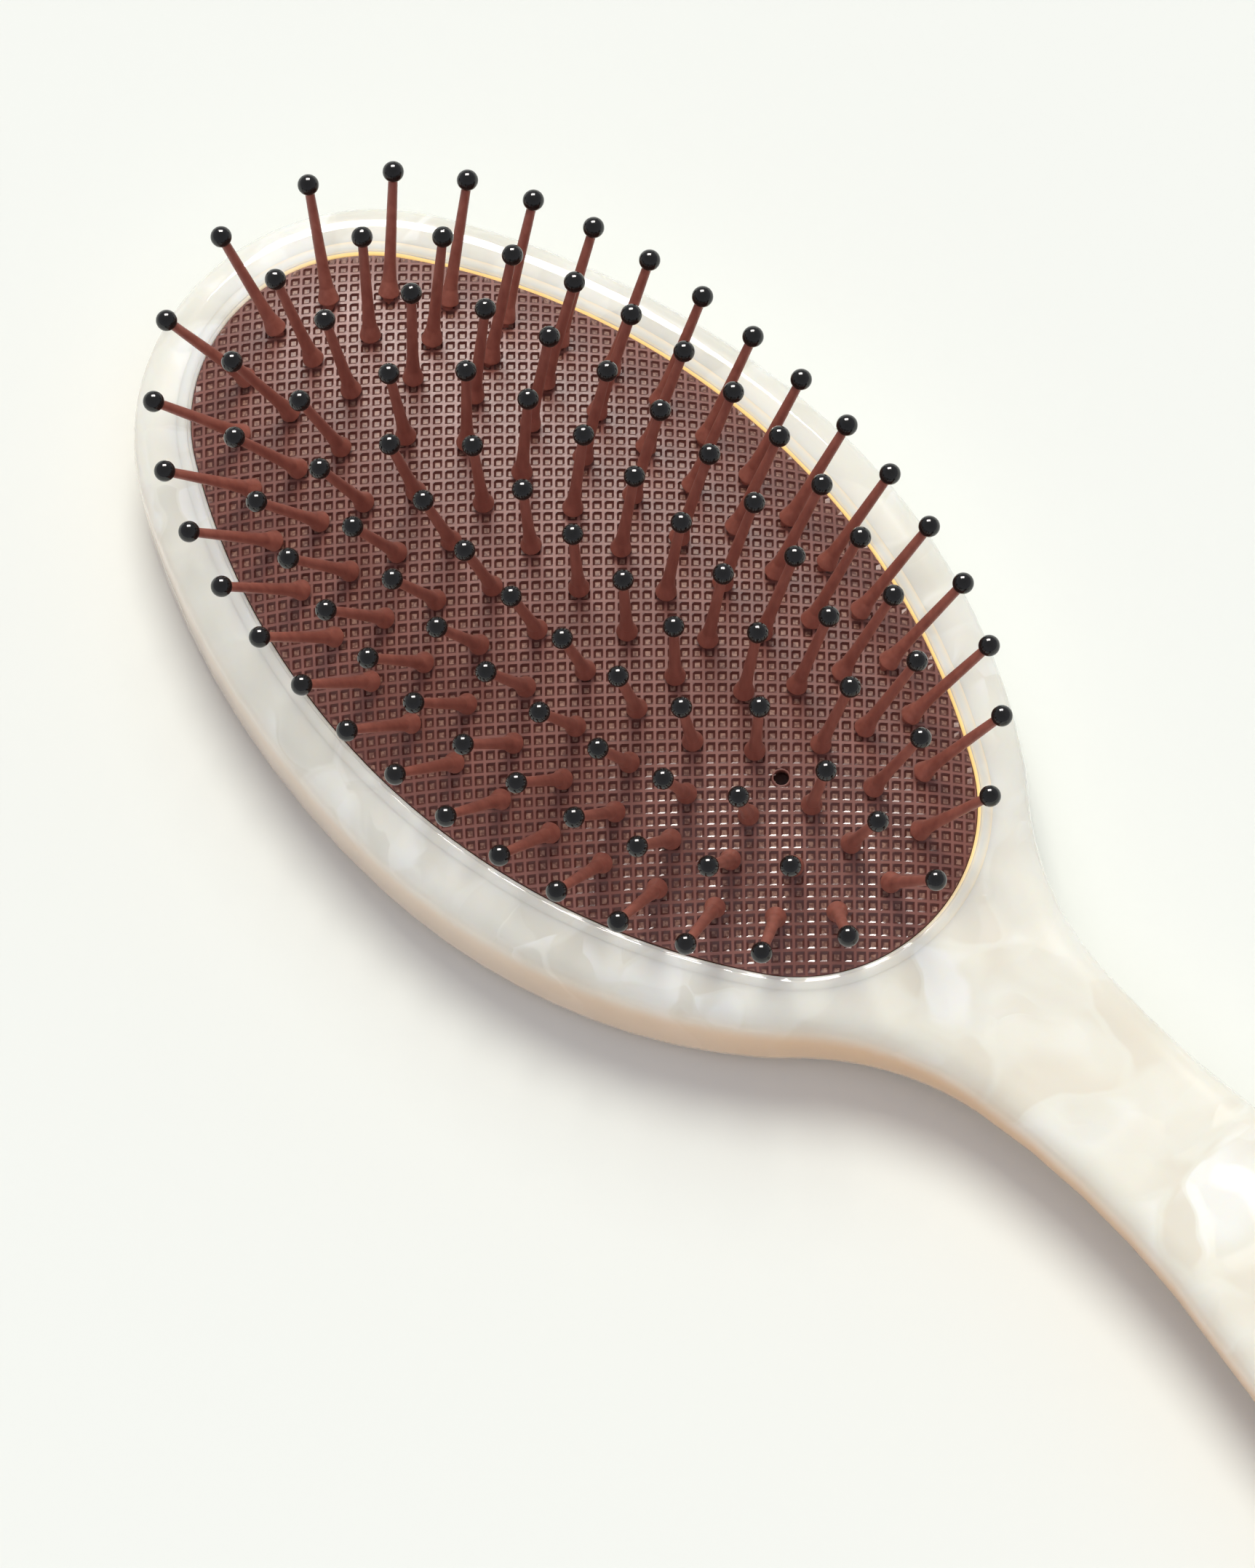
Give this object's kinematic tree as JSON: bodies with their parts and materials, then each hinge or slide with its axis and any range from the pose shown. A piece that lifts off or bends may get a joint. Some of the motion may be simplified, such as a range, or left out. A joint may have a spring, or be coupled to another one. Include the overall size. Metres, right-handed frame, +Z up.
{
  "type": "detangling brush",
  "caption": "Oval cushioned detangling hairbrush with a pearl acetate frame, domed rubber pad and ball tipped pins, lying on its back.",
  "frame": {"origin": "centre of the box round the brush, on the back of the head that it lies on", "axes": "+X along the brush from the head to the end of the handle, +Y across it, +Z up along the pins"},
  "size_m": [0.224, 0.0676, 0.0392],
  "materials": {
    "acetate": "polished pearl flakes",
    "rubber": "waffle texture, satin",
    "pin": "moulded, satin",
    "tip": "polished"
  },
  "bodies": {
    "frame": {"handle_frame": "acetate", "cushion_pad": "rubber"},
    "middle_row": {"pins_middle_row": "pin", "tips_middle_row": "tip"},
    "ring_1_sides": {"pins_ring_1_sides": "pin", "tips_ring_1_sides": "tip"},
    "ring_1_ends": {"pins_ring_1_ends": "pin", "tips_ring_1_ends": "tip"},
    "ring_2_sides": {"pins_ring_2_sides": "pin", "tips_ring_2_sides": "tip"},
    "ring_2_ends": {"pins_ring_2_ends": "pin", "tips_ring_2_ends": "tip"},
    "ring_3_sides": {"pins_ring_3_sides": "pin", "tips_ring_3_sides": "tip"},
    "ring_3_ends": {"pins_ring_3_ends": "pin", "tips_ring_3_ends": "tip"},
    "ring_4_sides": {"pins_ring_4_sides": "pin", "tips_ring_4_sides": "tip"},
    "ring_4_ends": {"pins_ring_4_ends": "pin", "tips_ring_4_ends": "tip"}
  },
  "joints": [
    {"name": "cushion_press", "type": "slide", "parent": "frame", "child": "middle_row", "axis": [0, 0, -1], "range_m": [0, 0.003], "stiffness_N_per_m": 1500, "deforming": ["cushion_pad"]},
    {"name": "ring_1_sides_sink", "type": "slide", "parent": "frame", "child": "ring_1_sides", "axis": [0, 0, -1], "range_m": [0, 0.0029]},
    {"name": "ring_1_ends_sink", "type": "slide", "parent": "frame", "child": "ring_1_ends", "axis": [0, 0, -1], "range_m": [0, 0.00257]},
    {"name": "ring_2_sides_sink", "type": "slide", "parent": "frame", "child": "ring_2_sides", "axis": [0, 0, -1], "range_m": [0, 0.00252]},
    {"name": "ring_2_ends_sink", "type": "slide", "parent": "frame", "child": "ring_2_ends", "axis": [0, 0, -1], "range_m": [0, 0.00203]},
    {"name": "ring_3_sides_sink", "type": "slide", "parent": "frame", "child": "ring_3_sides", "axis": [0, 0, -1], "range_m": [0, 0.00206]},
    {"name": "ring_3_ends_sink", "type": "slide", "parent": "frame", "child": "ring_3_ends", "axis": [0, 0, -1], "range_m": [0, 0.00163]},
    {"name": "ring_4_sides_sink", "type": "slide", "parent": "frame", "child": "ring_4_sides", "axis": [0, 0, -1], "range_m": [0, 0.00141]},
    {"name": "ring_4_ends_sink", "type": "slide", "parent": "frame", "child": "ring_4_ends", "axis": [0, 0, -1], "range_m": [0, 0.0011]}
  ],
  "couplings": [
    {"joint": "ring_1_sides_sink", "follows": "cushion_press", "ratio": 0.966},
    {"joint": "ring_1_ends_sink", "follows": "cushion_press", "ratio": 0.854},
    {"joint": "ring_2_sides_sink", "follows": "cushion_press", "ratio": 0.837},
    {"joint": "ring_2_ends_sink", "follows": "cushion_press", "ratio": 0.676},
    {"joint": "ring_3_sides_sink", "follows": "cushion_press", "ratio": 0.684},
    {"joint": "ring_3_ends_sink", "follows": "cushion_press", "ratio": 0.54},
    {"joint": "ring_4_sides_sink", "follows": "cushion_press", "ratio": 0.469},
    {"joint": "ring_4_ends_sink", "follows": "cushion_press", "ratio": 0.364}
  ]
}
